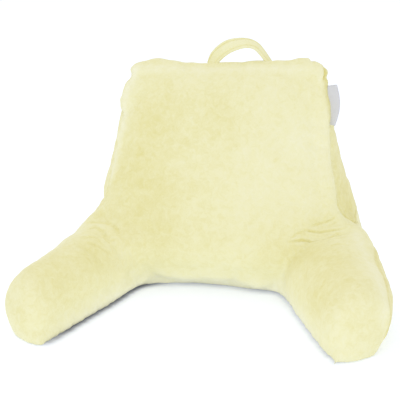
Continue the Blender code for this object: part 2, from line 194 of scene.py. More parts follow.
def measure_from(points, path, reach):
    """Indices of the points within reach of a path, their distance and their share along it."""
    low = path.min(axis=0) - reach
    high = path.max(axis=0) + reach
    close = np.flatnonzero(np.all((points > low) & (points < high), axis=1))
    places = points[close]
    nearest = np.full(len(close), np.inf)
    share = np.zeros(len(close))
    lengths = np.linalg.norm(np.diff(path, axis=0), axis=1)
    before = np.concatenate(([0.0], np.cumsum(lengths)))
    for i, length in enumerate(lengths):
        step = path[i + 1] - path[i]
        t = np.clip((places - path[i]) @ step / length ** 2, 0.0, 1.0)
        distance = np.linalg.norm(places - path[i] - t[:, None] * step, axis=1)
        closer = distance < nearest
        nearest[closer] = distance[closer]
        share[closer] = ((before[i] + t * length) / before[-1])[closer]
    inside = nearest < reach
    return close[inside], nearest[inside], share[inside]


print("a path through three places has", len(smooth_path(((0, 0, 0), (1, 0, 0), (1, 1, 0)))), "points")

# %% [markdown]
# The seams are where the panels meet. They are given level by level, as the widths and depths
# that a pattern cutter would write down: how high, how far back and how far out from the middle.
# One seam frames the front panel, and at its foot it turns back under the side band, where that is
# tucked down onto the arm. One frames the back panel. One runs round the outer top of each arm.
# A seam's depth is how far its stitches pull the cover in, in millimetres.

# %% Where the seams run
SeamLevel = namedtuple("SeamLevel", "front_z front_y front_half rear_z rear_y rear_half lean tilt")
SEAM_LEVELS = (
    SeamLevel(0.205, 0.079, 0.236, 0.190, 0.258, 0.258, 0.005, 0.002),
    SeamLevel(0.245, 0.092, 0.231, 0.255, 0.249, 0.238, 0.005, 0.002),
    SeamLevel(0.318, 0.117, 0.222, 0.320, 0.238, 0.217, 0.004, 0.004),
    SeamLevel(0.388, 0.138, 0.214, 0.388, 0.226, 0.200, 0.003, 0.007),
    SeamLevel(0.448, 0.160, 0.206, 0.438, 0.214, 0.190, 0.002, 0.008),
)
REAR_FOOT = {
    -1: ((-0.281, 0.264, 0.0), (-0.267, 0.264, 0.139)),
    1: ((0.265, 0.264, 0.0), (0.285, 0.264, 0.141)),
}
BAND_FOOT = {
    -1: ((-0.276, 0.250, 0.142), (-0.279, 0.175, 0.140), (-0.278, 0.140, 0.141), (-0.272, 0.110, 0.144),
         (-0.260, 0.078, 0.156), (-0.248, 0.062, 0.168)),
    1: ((0.292, 0.250, 0.140), (0.298, 0.175, 0.138), (0.297, 0.142, 0.139), (0.291, 0.116, 0.142),
        (0.279, 0.093, 0.149), (0.263, 0.079, 0.163), (0.249, 0.074, 0.184)),
}
ARM_SEAM = {
    -1: ((-0.352, -0.226, 0.030), (-0.362, -0.218, 0.070), (-0.356, -0.205, 0.104), (-0.345, -0.150, 0.114),
         (-0.327, -0.080, 0.116), (-0.310, -0.016, 0.120), (-0.300, 0.050, 0.116), (-0.290, 0.120, 0.110),
         (-0.281, 0.190, 0.107), (-0.273, 0.258, 0.107)),
    1: ((0.356, -0.222, 0.030), (0.365, -0.215, 0.068), (0.361, -0.205, 0.098), (0.348, -0.145, 0.115),
        (0.332, -0.070, 0.120), (0.323, -0.008, 0.121), (0.319, 0.050, 0.116), (0.310, 0.110, 0.110),
        (0.300, 0.180, 0.106), (0.290, 0.258, 0.106)),
}


def side_seam(side, edge):
    """Points up one side: of the front panel's edge, or of the back panel's."""
    places = []
    for level in SEAM_LEVELS:
        height, back, half = level[:3] if edge == "front" else level[3:6]
        places.append((side * half + level.lean, back, height + side * level.tilt))
    return places


Seam = namedtuple("Seam", "depth path")
FRONT_DEPTH = {-1: 1.0, 1: 2.4}
ARM_DEPTH = {-1: 1.2, 1: 2.4}
REAR_DEPTH = 2.4
TOP_DEPTH = {"front": 0.4, "rear": 1.8}
TOP_STEPS = 40
front_seams = {}
arm_seams = {}
rear_seams = {}
for side in (-1, 1):
    front_line = list(BAND_FOOT[side]) + side_seam(side, "front")
    rear_line = list(REAR_FOOT[side]) + side_seam(side, "rear")
    front_seams[side] = Seam(FRONT_DEPTH[side], smooth_path(front_line))
    arm_seams[side] = Seam(ARM_DEPTH[side], smooth_path(ARM_SEAM[side]))
    rear_seams[side] = Seam(REAR_DEPTH, smooth_path(rear_line))
seams = list(front_seams.values()) + list(arm_seams.values()) + list(rear_seams.values())
for edge, depth in TOP_DEPTH.items():
    top_left = side_seam(-1, edge)[-1]
    top_right = side_seam(1, edge)[-1]
    middle = 0.5 * (np.array(top_left) + np.array(top_right))
    seams.append(Seam(depth, smooth_path((top_left, middle, top_right), TOP_STEPS)))


def settle(path, tree):
    """Move a path's points onto the nearest place of the surface."""
    return np.array([tree.find_nearest(Vector(place))[0] for place in path])


def surface_of(piece):
    """A piece's surface, ready to be asked for its nearest place."""
    return BVHTree.FromObject(piece, bpy.context.evaluated_depsgraph_get())


print("seams", len(seams))

# %% [markdown]
# Now the stuffing. The surface starts 3.5 mm inside its final size and is blown up by pressure, with
# no gravity. Its seams and its base are held, and the cloth is cut a little larger than the shape,
# so it crowns between the seams and puckers beside them, as plush does beside a tight thread.
# A weak hold on all other points keeps the pillow's form, and none may move further than the cap.

# %% Blow up the cover
START_INSET = 0.0035
SEAM_INSET = 0.001
SEAM_GRIP = 0.008
GRIP_REACH = 3.0
HOLD_FREE = 0.10
HOLD_SEAM = 0.90
HOLD_BASE = 0.98
BASE_HEIGHT = 0.004
BASE_FADE = 0.030
CLOTH_EASE = 0.02
SWELL_CAP = 0.011
SIM_FRAMES = 20


def distance_to_seams(points, tree, reach):
    """Distance from each point to the nearest seam, at most the reach."""
    nearest = np.full(len(points), reach)
    for seam in seams:
        close, distance = measure_from(points, settle(seam.path, tree), reach)[:2]
        nearest[close] = np.minimum(nearest[close], distance)
    return nearest


def stuff(piece):
    """Inflate a piece as cloth and keep the result, with its movement capped."""
    start = read_points(piece)
    to_seam = distance_to_seams(start, surface_of(piece), GRIP_REACH * SEAM_GRIP)
    grip = np.exp(-((to_seam / SEAM_GRIP) ** 2))
    inset = START_INSET + (SEAM_INSET - START_INSET) * grip
    inset *= np.clip(start[:, 2] / BASE_FADE, 0.0, 1.0)
    begin = start - inset[:, None] * read_normals(piece)
    write_points(piece, begin)
    hold = HOLD_FREE + (HOLD_SEAM - HOLD_FREE) * grip
    hold[start[:, 2] < BASE_HEIGHT] = HOLD_BASE
    held = piece.vertex_groups.new(name="held")
    for index, weight in enumerate(hold):
        held.add([index], float(weight), "REPLACE")
    cloth = piece.modifiers.new("stuffing", "CLOTH")
    cloth.settings.quality = 6
    cloth.settings.mass = 0.25
    cloth.settings.tension_stiffness = 15.0
    cloth.settings.compression_stiffness = 15.0
    cloth.settings.bending_stiffness = 0.5
    cloth.settings.use_pressure = True
    cloth.settings.uniform_pressure_force = 4.0
    cloth.settings.effector_weights.gravity = 0.0
    cloth.settings.vertex_group_mass = held.name
    cloth.settings.shrink_min = -CLOTH_EASE
    cloth.settings.shrink_max = -CLOTH_EASE
    for frame_number in range(1, SIM_FRAMES + 1):
        bpy.context.scene.frame_set(frame_number)
    result = read_points(piece.evaluated_get(bpy.context.evaluated_depsgraph_get()))
    piece.modifiers.remove(cloth)
    piece.vertex_groups.clear()
    move = result - begin
    length = np.linalg.norm(move, axis=1, keepdims=True)
    write_points(piece, begin + move * np.minimum(1.0, SWELL_CAP / np.maximum(length, 1e-9)))
    print("cover moved", round(1000 * float(length.mean()), 1), "mm on average")


stuff(cushion)
apply(cushion, "SMOOTH", factor=0.5, iterations=3)
apply(cushion, "SUBSURF", levels=1, render_levels=1)
print("fine surface", len(cushion.data.vertices), "points")

# %% [markdown]
# Folds are pressed into the cover next, one by one, each where it shows. A crease is a soft trough
# with a plump roll on both sides of it, because the cloth that it swallows has to come from
# somewhere. Its row gives its depth and half width in millimetres and the line that it follows.
# A depth below zero makes a soft ridge. Several creases fan out over each shoulder, where the
# cover of the arm turns into the backrest.

# %% The creases and their sizes
Crease = namedtuple("Crease", "depth width path")
CREASES = (
    # right shoulder, from the top one down
    Crease(1.6, 2.3, ((0.196, 0.034, 0.152), (0.215, 0.042, 0.156), (0.230, 0.046, 0.160),
                      (0.246, 0.052, 0.167))),
    Crease(2.3, 2.4, ((0.183, 0.028, 0.146), (0.204, 0.026, 0.144), (0.226, 0.030, 0.144),
                      (0.244, 0.033, 0.147), (0.262, 0.036, 0.149))),
    Crease(1.2, 2.6, ((0.158, 0.010, 0.129), (0.171, 0.019, 0.139), (0.185, 0.026, 0.143))),
    Crease(2.6, 2.5, ((0.156, 0.006, 0.125), (0.184, 0.012, 0.130), (0.203, 0.012, 0.133),
                      (0.220, 0.014, 0.136), (0.236, 0.020, 0.138), (0.254, 0.028, 0.140))),
    Crease(1.5, 2.8, ((0.228, -0.008, 0.138), (0.246, -0.001, 0.139), (0.266, -0.001, 0.140))),
    Crease(1.0, 4.5, ((0.238, -0.044, 0.140), (0.254, -0.036, 0.142), (0.276, -0.040, 0.142))),
    # left shoulder
    Crease(1.2, 3.4, ((-0.276, 0.034, 0.136), (-0.249, 0.033, 0.138), (-0.230, 0.030, 0.136),
                      (-0.215, 0.026, 0.136), (-0.203, 0.017, 0.131), (-0.190, -0.001, 0.127))),
    Crease(-0.9, 6.0, ((-0.262, 0.027, 0.134), (-0.235, 0.020, 0.135), (-0.212, 0.010, 0.133),
                       (-0.190, -0.010, 0.124))),
    Crease(1.2, 3.8, ((-0.272, 0.011, 0.128), (-0.245, 0.014, 0.133), (-0.224, -0.006, 0.129),
                      (-0.209, -0.022, 0.126), (-0.190, -0.019, 0.119))),
    Crease(1.2, 4.4, ((-0.252, -0.049, 0.135), (-0.240, -0.038, 0.135), (-0.224, -0.032, 0.132))),
    Crease(1.0, 4.4, ((-0.243, -0.064, 0.133), (-0.222, -0.060, 0.127), (-0.200, -0.057, 0.115),
                      (-0.182, -0.050, 0.103))),
    Crease(1.8, 10.0, ((-0.253, -0.070, 0.133), (-0.234, -0.086, 0.121), (-0.222, -0.087, 0.108),
                       (-0.210, -0.087, 0.092))),
    # the rolled edge of the front panel on the right, which hides the seam behind it
    Crease(-7.0, 13.0, ((0.244, 0.044, 0.172), (0.237, 0.058, 0.205), (0.232, 0.070, 0.245),
                        (0.227, 0.084, 0.282), (0.222, 0.098, 0.318), (0.218, 0.112, 0.355),
                        (0.214, 0.126, 0.392), (0.209, 0.140, 0.425))),
    # the lowest edge between the arms and inside the left one, which stands a little proud
    Crease(-4.5, 15.0, ((-0.280, -0.286, 0.0), (-0.245, -0.262, 0.0), (-0.205, -0.160, 0.0),
                        (-0.165, -0.050, 0.0), (-0.120, -0.004, 0.0))),
    Crease(-3.5, 14.0, ((-0.150, 0.000, 0.0), (0.000, 0.000, 0.0), (0.150, -0.010, 0.0))),
    # the two puckers of the right top corner
    Crease(4.0, 3.4, ((0.176, 0.206, 0.458), (0.181, 0.187, 0.459), (0.186, 0.174, 0.456))),
    Crease(4.0, 3.4, ((0.203, 0.176, 0.452), (0.212, 0.158, 0.444), (0.214, 0.150, 0.436),
                      (0.211, 0.144, 0.428))),
    # a long soft dip along the top of the face
    Crease(1.5, 24.0, ((-0.100, 0.168, 0.449), (-0.030, 0.168, 0.450), (0.040, 0.168, 0.452))),
)
print("creases", len(CREASES))

# %% [markdown]
# The narrowest creases are as fine as the squares of the mesh, so the squares within a few half
# widths of them are cut in four.

# %% Finer squares under the narrow creases
FINE_MM = 4.6
FINE_REACH = 2.6
cushion_tree = surface_of(cushion)
middles = np.array([face.center for face in cushion.data.polygons])
fine = set()
for crease in CREASES:
    if 0.0 < crease.depth and crease.width < FINE_MM:
        path = settle(smooth_path(crease.path), cushion_tree)
        fine.update(measure_from(middles, path, 0.001 * FINE_REACH * crease.width)[0].tolist())
make_active(cushion)
bpy.ops.object.mode_set(mode="EDIT")
bpy.ops.mesh.select_mode(type="FACE")
bpy.ops.mesh.select_all(action="DESELECT")
bpy.ops.object.mode_set(mode="OBJECT")
for index in fine:
    cushion.data.polygons[index].select = True
bpy.ops.object.mode_set(mode="EDIT")
bpy.ops.mesh.subdivide(number_cuts=1, smoothness=0.0)
bpy.ops.object.mode_set(mode="OBJECT")
print("faces cut in four", len(fine))

# %% [markdown]
# Along the sewn edge of the front panel the cloth is gathered, so the edge runs in uneven
# knuckles: a bulge, then a short tuck that crosses the seam. The left edge shows them best,
# against the white behind. Each row is a height on the seam, a depth and a half width, along the
# top a place across instead of the height, and under a side band the side alone.

# %% Tucks along the front panel's edge
Tuck = namedtuple("Tuck", "height depth width")
EDGE_TUCKS = {
    -1: (Tuck(0.421, 6.0, 6.5), Tuck(0.384, 2.0, 6.0), Tuck(0.347, 4.0, 6.0), Tuck(0.318, 1.6, 5.0),
         Tuck(0.287, 4.0, 6.0), Tuck(0.252, 1.6, 6.0), Tuck(0.226, 1.5, 5.0), Tuck(0.196, 2.6, 6.0)),
    1: (Tuck(0.432, 3.5, 5.0), Tuck(0.398, 1.0, 6.0), Tuck(0.316, 1.0, 6.0), Tuck(0.268, 1.0, 6.0),
        Tuck(0.232, 1.6, 5.0), Tuck(0.202, 1.6, 5.0)),
}
TOP_TUCKS = ((-0.166, 1.6, 6.0), (-0.078, 1.2, 7.0), (0.040, 1.2, 7.0), (0.132, 1.4, 6.0))
BAND_TUCKS = ((-1, 3.0, 6.0), (1, 4.0, 5.0))
TUCK_IN = 0.007
TUCK_OUT = 0.026


def seam_at(side, height):
    """The front panel's side seam at a height."""
    rows = np.array(side_seam(side, "front"))
    x = np.interp(height, rows[:, 2], rows[:, 0])
    y = np.interp(height, rows[:, 2], rows[:, 1])
    return np.array((x, y, height))


def edge_tucks():
    """The tucks as creases that cross the seam, and the long one under each side band."""
    tucks = [Crease(depth, width, BAND_FOOT[side][1:]) for side, depth, width in BAND_TUCKS]
    for side, rows in EDGE_TUCKS.items():
        for row in rows:
            place = seam_at(side, row.height)
            inner = place + TUCK_IN * np.array((-side, -0.2, -0.1))
            outer = place + np.array((0.0, TUCK_OUT, 0.0))
            tucks.append(Crease(row.depth, row.width, (inner, place, outer)))
    left, right = (np.array(side_seam(side, "front")[-1]) for side in (-1, 1))
    for x, depth, width in TOP_TUCKS:
        place = left + (x - left[0]) / (right[0] - left[0]) * (right - left)
        inner = place + TUCK_IN * np.array((0.0, -0.4, -0.9))
        outer = place + np.array((0.0, TUCK_OUT, 0.002))
        tucks.append(Crease(depth, width, (inner, place, outer)))
    return tucks


print("tucks", len(edge_tucks()))

# %% [markdown]
# Between the tucks the loose filling pushes the cover out in lumps. Each row is a place, a radius
# and a rise, the last two in millimetres, and a rise below zero is a hollow. A slow random
# unevenness of about a millimetre lies over everything, because no hand-stuffed cover is as even
# as a drawing. Lumps and creases fade softly: the creases towards both ends, where the cloth lets
# go of the fold, and their rolls stand two half widths beside the trough.

# %% Plump places and the shape of a crease
Lump = namedtuple("Lump", "x y z radius rise")
LUMPS = (
    # along the top, where the filling is pushed up beside the strap
    Lump(-0.185, 0.175, 0.447, 26, 5.0),
    Lump(-0.150, 0.200, 0.447, 26, 9.0),
    Lump(-0.118, 0.190, 0.447, 26, 7.5),
    Lump(-0.070, 0.185, 0.447, 28, 4.5),
    Lump(0.000, 0.185, 0.449, 32, 4.0),
    Lump(0.070, 0.190, 0.452, 30, 4.5),
    Lump(0.115, 0.195, 0.455, 26, 5.0),
    Lump(0.155, 0.195, 0.458, 24, 6.0),
    Lump(0.195, 0.175, 0.452, 22, 6.5),
    # the sides of the backrest
    Lump(-0.200, 0.156, 0.433, 14, -8.0),
    Lump(-0.216, 0.140, 0.392, 24, 4.5),
    Lump(-0.219, 0.120, 0.325, 30, -2.5),
    Lump(-0.250, 0.104, 0.172, 25, -5.5),
    Lump(-0.270, 0.105, 0.142, 25, -4.0),
    Lump(0.212, 0.152, 0.425, 24, 2.5),
    Lump(0.218, 0.140, 0.385, 35, 6.5),
    Lump(0.222, 0.110, 0.340, 35, 3.0),
    Lump(0.241, 0.080, 0.215, 42, 6.0),
    Lump(0.262, 0.190, 0.220, 60, -4.0),
    Lump(0.288, 0.170, 0.150, 35, -7.0),
    # the arms
    Lump(0.302, 0.050, 0.130, 38, 8.0),
    Lump(0.322, -0.030, 0.128, 40, 3.5),
    Lump(0.346, -0.080, 0.100, 36, 3.0),
    Lump(0.360, -0.150, 0.095, 70, 6.0),
    Lump(0.352, -0.215, 0.030, 40, -1.5),
    Lump(0.308, -0.268, 0.010, 34, 7.0),
    Lump(0.257, -0.265, 0.005, 22, -5.0),
    Lump(-0.355, -0.240, 0.045, 38, 4.0),
    Lump(-0.315, -0.275, 0.010, 40, 8.0),
    Lump(-0.305, -0.025, 0.118, 32, 4.0),
)
Wobble = namedtuple("Wobble", "length height")
WOBBLES = (Wobble(0.085, 1.3), Wobble(0.038, 0.6))
CREASE_REACH = 3.6
CREASE_FADE = 0.28
CREASE_END = 0.12
ROLL_RISE = 0.38
ROLL_PLACE = 1.9


def lump_rise(points):
    """How far the lumps move each point."""
    rise = np.zeros(len(points))
    for lump in LUMPS:
        distance = np.linalg.norm(points - np.array((lump.x, lump.y, lump.z)), axis=1)
        rise += 0.001 * lump.rise * np.exp(-((1000.0 * distance / lump.radius) ** 2))
    return rise


def wobble_rise(points):
    """How far the random unevenness moves each point."""
    rise = np.zeros(len(points))
    for wobble in WOBBLES:
        rise += [0.001 * wobble.height * noise.noise(Vector(p) / wobble.length) for p in points]
    return rise


def crease_rise(points, crease, tree):
    """How far a crease moves each point: a trough with a roll on both sides."""
    width = 0.001 * crease.width
    path = settle(smooth_path(crease.path), tree)
    close, distance, share = measure_from(points, path, CREASE_REACH * width)
    from_end = np.minimum(share, 1.0 - share) / CREASE_FADE + CREASE_END
    fade = np.sin(0.5 * math.pi * np.clip(from_end, 0.0, 1.0))
    trough = -np.exp(-((distance / width) ** 2))
    roll = ROLL_RISE * np.exp(-(((distance - ROLL_PLACE * width) / width) ** 2))
    rise = np.zeros(len(points))
    rise[close] = 0.001 * crease.depth * fade * (trough + roll)
    return rise


print("lumps", len(LUMPS))

# %% [markdown]
# The seams themselves are the finest folds: the stitches pull them a couple of millimetres in.
# Last, the base is pressed flat, and the lowest edge is rolled under as a stuffed edge is. Between
# the arms the backrest's weight spreads that edge a centimetre forward on the floor. Where a fold
# is narrow, its depth is also kept on the mesh, so that the material paints shade into the fold as a
# deeper yellow and paints light on the roll beside it as a paler one.

# %% Press the folds and seams into the cover
SEAM_WIDTH = 0.0034
SEAM_REACH = 0.016
NARROW_MM = 8.0
FOLD_LIMITS = (-3.0, 2.0)
EDGE_ROLL = 0.0015
EDGE_FACING = 0.3
EDGE_SOFT = 0.4
Spread = namedtuple("Spread", "x forward")
SPREADS = (Spread(-0.175, 0.0), Spread(-0.140, 0.012), Spread(-0.100, 0.011), Spread(-0.050, 0.004),
           Spread(0.020, 0.007), Spread(0.060, 0.012), Spread(0.110, 0.014), Spread(0.140, 0.008),
           Spread(0.175, 0.0))
SPREAD_HEIGHT = 0.022
SPREAD_BACK = (0.07, 0.11)


def press(piece):
    """Move every point of the cover along its normal by all that shapes it there."""
    points = read_points(piece)
    normals = read_normals(piece)
    tree = surface_of(piece)
    broad = lump_rise(points) + wobble_rise(points)
    narrow = np.zeros(len(points))
    for crease in edge_tucks():
        broad += crease_rise(points, crease, tree)
    for crease in CREASES:
        if crease.width < NARROW_MM:
            narrow += crease_rise(points, crease, tree)
        else:
            broad += crease_rise(points, crease, tree)
    sewn = np.zeros(len(points))
    for seam in seams:
        close, distance = measure_from(points, settle(seam.path, tree), SEAM_REACH)[:2]
        pull = -0.001 * seam.depth * np.exp(-((distance / SEAM_WIDTH) ** 2))
        sewn[close] = np.minimum(sewn[close], pull)
    narrow += sewn
    return points + (broad + narrow)[:, None] * normals, normals, narrow


def roll_base(points, normals):
    """Keep the base on the floor and roll the lowest edge under."""
    height = np.clip(points[:, 2], 0.0, EDGE_ROLL)
    inset = EDGE_ROLL - np.sqrt(EDGE_ROLL ** 2 - (EDGE_ROLL - height) ** 2)
    outwards = normals * np.array((1.0, 1.0, 0.0))
    length = np.linalg.norm(outwards, axis=1, keepdims=True)
    side_on = np.clip((length - EDGE_FACING) / EDGE_SOFT, 0.0, 1.0)
    points = points - inset[:, None] * side_on * outwards / np.maximum(length, 1e-6)
    points[:, 2] = np.maximum(points[:, 2], 0.0)
    return points


def spread_lip(points):
    """Move the lowest edge between the arms forward, most at the floor."""
    across = [spread.x for spread in SPREADS]
    forward = np.interp(points[:, 0], across, [spread.forward for spread in SPREADS])
    low = np.clip(1.0 - points[:, 2] / SPREAD_HEIGHT, 0.0, 1.0) ** 2
    near = np.clip((SPREAD_BACK[1] - points[:, 1]) / (SPREAD_BACK[1] - SPREAD_BACK[0]), 0.0, 1.0)
    points[:, 1] -= forward * low * near
    return points


def keep(piece, name, values):
    """Keep one number for each point on the mesh, for its material to read."""
    made = piece.data.attributes.new(name, "FLOAT", "POINT")
    made.data.foreach_set("value", np.asarray(values, dtype=np.float32))


points, normals, narrow = press(cushion)
points = spread_lip(roll_base(points, normals))
write_points(cushion, points)
# painted shade: the fold depth, which the plush turns into a deeper yellow in creases and seams and a paler
# one on their rolls
keep(cushion, "fold_depth_for_painted_shade_mm", np.clip(1000.0 * narrow, *FOLD_LIMITS))
cushion.data.shade_smooth()
normals = read_normals(cushion)
print("cushion triangles", sum(len(face.vertices) - 2 for face in cushion.data.polygons))

# %% [markdown]
# The pile of velour lies one way, called its nap. A panel cut with the nap another way looks a
# shade deeper or paler, and so does each place that a hand has brushed. The side bands are cut
# that other way here, and shade is painted on them too, most on the right one, which gets less
# light. A point is in a side band if it is beyond the front panel's seam or the arm's, before the
# rear one, and faces the side. The brushed places are soft rounds, whose radius is in millimetres:
# some are random tone, and some are painted shade and light, deeper on the face's left and paler
# on its right, and deeper at the foot of the right side band. The strokes, whose half width is in
# millimetres, are painted sheen, paler along the rims. A shade above zero is deeper and one below
# it paler. The lowest front edge is painted paler as well, as painted bounce light from the white
# floor.

# %% The nap of each panel, with painted shade, sheen and bounce light
Brushed = namedtuple("Brushed", "x y z radius shade")
BRUSHED_AND_SHADED = (
    # the face of the backrest: painted shade on the left and painted light on the right, as the light falls
    Brushed(-0.155, 0.110, 0.360, 75, 0.40),
    Brushed(-0.160, 0.070, 0.240, 80, 0.40),
    Brushed(-0.120, 0.025, 0.140, 70, 0.42),
    Brushed(-0.005, 0.110, 0.350, 85, 0.38),
    Brushed(0.165, 0.100, 0.320, 110, -0.30),
    Brushed(0.120, 0.050, 0.180, 80, -0.15),
    # the left arm
    Brushed(-0.225, -0.085, 0.110, 45, 0.50),
    Brushed(-0.275, -0.195, 0.105, 60, 0.45),
    Brushed(-0.310, -0.250, 0.070, 50, 0.12),
    # the right arm
    Brushed(0.165, -0.020, 0.100, 42, 0.45),
    Brushed(0.215, -0.060, 0.125, 45, 0.25),
    Brushed(0.258, -0.110, 0.132, 42, 0.35),
    Brushed(0.222, -0.180, 0.090, 55, 0.50),
    Brushed(0.290, -0.200, 0.115, 40, 0.20),
    Brushed(0.320, -0.240, 0.050, 50, 0.30),
    # the foot of the right side band: painted shade in the recess beside the arm
    Brushed(0.272, 0.140, 0.175, 48, 0.55),
)
PaintedSheenStroke = namedtuple("PaintedSheenStroke", "width shade path")
# painted sheen: paler strokes along the rims of the right arm, the left arm, the face's left edge and its
# top
PAINTED_SHEEN_STROKES = (
    PaintedSheenStroke(12, -0.50, ((0.290, 0.020, 0.140), (0.300, -0.030, 0.137), (0.317, -0.070, 0.130),
                       (0.332, -0.155, 0.125), (0.340, -0.205, 0.110), (0.346, -0.232, 0.070))),
    PaintedSheenStroke(16, -0.70, ((-0.285, 0.030, 0.132), (-0.300, -0.020, 0.127), (-0.318, -0.080, 0.122),
                       (-0.335, -0.150, 0.120), (-0.345, -0.205, 0.108))),
    PaintedSheenStroke(13, -0.85, ((-0.228, 0.085, 0.230), (-0.212, 0.112, 0.318), (-0.206, 0.136, 0.388),
                       (-0.198, 0.150, 0.435))),
    PaintedSheenStroke(12, -0.50, ((-0.180, 0.155, 0.444), (0.000, 0.158, 0.447), (0.180, 0.158, 0.451))),
)
PAINTED_SHEEN_REACH = 2.5
# painted bounce light: the lowest edge, where it faces forward, is painted paler, less at the arm tips
PAINTED_BOUNCE_HEIGHT = 0.032
PAINTED_BOUNCE_SHADE = -1.0
PAINTED_BOUNCE_STEEP = 2.0
PAINTED_BOUNCE_START = 0.6
PAINTED_BOUNCE_FADE = (-0.26, -0.12)
PAINTED_BOUNCE_AT_TIPS = 0.2
# side bands: a nap cut the other way, plus painted shade, deeper on the right band, which gets less light
BAND_NAP_AND_SHADE = {-1: 0.25, 1: 0.56}
BAND_SOFT = 0.003
BAND_INNER = 0.19
BAND_TURN = 0.2
BAND_STEEP = 6.0


def beyond(points, path, tree):
    """How far each point lies across a path on the surface, signed."""
    path = settle(path, tree)
    facing = np.array([tree.find_nearest(Vector(place))[1] for place in path])
    along = np.gradient(path, axis=0)
    across = np.cross(along, facing)
    across /= np.linalg.norm(across, axis=1, keepdims=True)
    near = KDTree(len(path))
    for index, place in enumerate(path):
        near.insert(place, index)
    near.balance()
    nearest = np.array([near.find(point)[1] for point in points])
    return np.einsum("ij,ij->i", points - path[nearest], across[nearest])


nap = np.zeros(len(points))
tree = surface_of(cushion)
# the side bands get their nap and their painted shade together
for side in (-1, 1):
    on_side = np.flatnonzero(side * points[:, 0] > BAND_INNER)
    past_front, past_arm, past_rear = (
        np.clip(side * beyond(points[on_side], seam.path, tree) / BAND_SOFT, 0.0, 1.0)
        for seam in (front_seams[side], arm_seams[side], rear_seams[side])
    )
    band = np.maximum(past_front, past_arm) * (1.0 - past_rear)
    band *= np.clip(BAND_STEEP * (side * normals[on_side, 0] - BAND_TURN), 0.0, 1.0)
    nap[on_side] += BAND_NAP_AND_SHADE[side] * band
# random tone patches, with painted shade and light on the face and at the band's foot
for place in BRUSHED_AND_SHADED:
    distance = np.linalg.norm(points - np.array((place.x, place.y, place.z)), axis=1)
    nap += place.shade * np.exp(-((1000.0 * distance / place.radius) ** 2))
# painted sheen along the rims
for sheen_stroke in PAINTED_SHEEN_STROKES:
    reach = 0.001 * PAINTED_SHEEN_REACH * sheen_stroke.width
    close, distance = measure_from(points, settle(smooth_path(sheen_stroke.path), tree), reach)[:2]
    nap[close] += sheen_stroke.shade * np.exp(-((1000.0 * distance / sheen_stroke.width) ** 2))
# painted bounce light from the floor on the lowest forward-facing edge
painted_bounce = np.exp(-((points[:, 2] / PAINTED_BOUNCE_HEIGHT) ** 2))
painted_bounce *= np.clip(PAINTED_BOUNCE_START - PAINTED_BOUNCE_STEEP * normals[:, 1], 0.0, 1.0)
nap += PAINTED_BOUNCE_SHADE * painted_bounce * np.interp(points[:, 1], PAINTED_BOUNCE_FADE, (PAINTED_BOUNCE_AT_TIPS, 1.0))
# the nap together with the painted shade, painted sheen and painted bounce light, for the plush to read
keep(cushion, "nap", nap)
print("nap from", round(float(nap.min()), 2), "to", round(float(nap.max()), 2))

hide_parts("pillow_body")
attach(cushion, "root")

# %% [markdown]
# The materials follow now, and three small helpers serve them all. One turns a colour written as
# sRGB hex into the linear values that shaders work in, one adds a node with its settings and
# links, and one starts an empty material.

# %% Helpers for materials
def colour(code):
    """Linear red, green, blue and alpha for an sRGB hex code."""
    parts = [int(code[i:i + 2], 16) / 255.0 for i in (1, 3, 5)]
    linear = [p / 12.92 if p <= 0.04045 else ((p + 0.055) / 1.055) ** 2.4 for p in parts]
    return (*linear, 1.0)


def node(material, kind, links=None, **settings):
    """Add a node. Settings name its properties or inputs, and links give its inputs a socket."""
    made = material.node_tree.nodes.new(kind)
    for key, value in settings.items():
        if hasattr(made, key):
            setattr(made, key, value)
        else:
            made.inputs[key.replace("_", " ")].default_value = value
    for key, socket in (links or {}).items():
        material.node_tree.links.new(socket, made.inputs[key])
    return made


def new_material(name):
    """An empty node material with its output."""
    material = bpy.data.materials.new(name)
    material.use_nodes = True
    material.node_tree.nodes.clear()
    output = material.node_tree.nodes.new("ShaderNodeOutputMaterial")
    return material, output


print("pale yellow in linear values", [round(part, 3) for part in colour("#F0ECBE")[:3]])

# %% [markdown]
# The studio is a white sweep: floor and background run into one white, and only a thin shadow shows
# where the cloth meets the floor. The floor glows by itself, as a lit white table does, which keeps
# it white in the picture. That thin shadow is painted: the floor's white and glow are both dimmed
# towards the cushion's inner edges, most under the left arm, which shades its own side, and least
# beside the right one. No shadow is painted behind the pillow or outside the arms. The grid is fine
# under the pillow only, to hold that painted shadow, and its border is drawn far out.

# %% The floor
FLOOR_DROP = 0.0004
FLOOR_CELLS = 250
FLOOR_MIDDLE = 1.2
FLOOR_STRETCH = 30.0
GLOW = 0.30
CONTACT_HEIGHT = 0.003
INNER_HALF = 0.30
INNER_FADE = 0.05
FADE_FRONT = (-0.295, -0.270)
FADE_REAR = (0.200, 0.150)
Shade = namedtuple("Shade", "x dark reach")
# painted shadow: how dark it is at each place across, and how far it reaches from the cushion
PAINTED_SHADOWS = (Shade(-0.150, 0.75, 0.0115), Shade(-0.100, 0.28, 0.014), Shade(0.110, 0.28, 0.014),
          Shade(0.160, 0.22, 0.009))


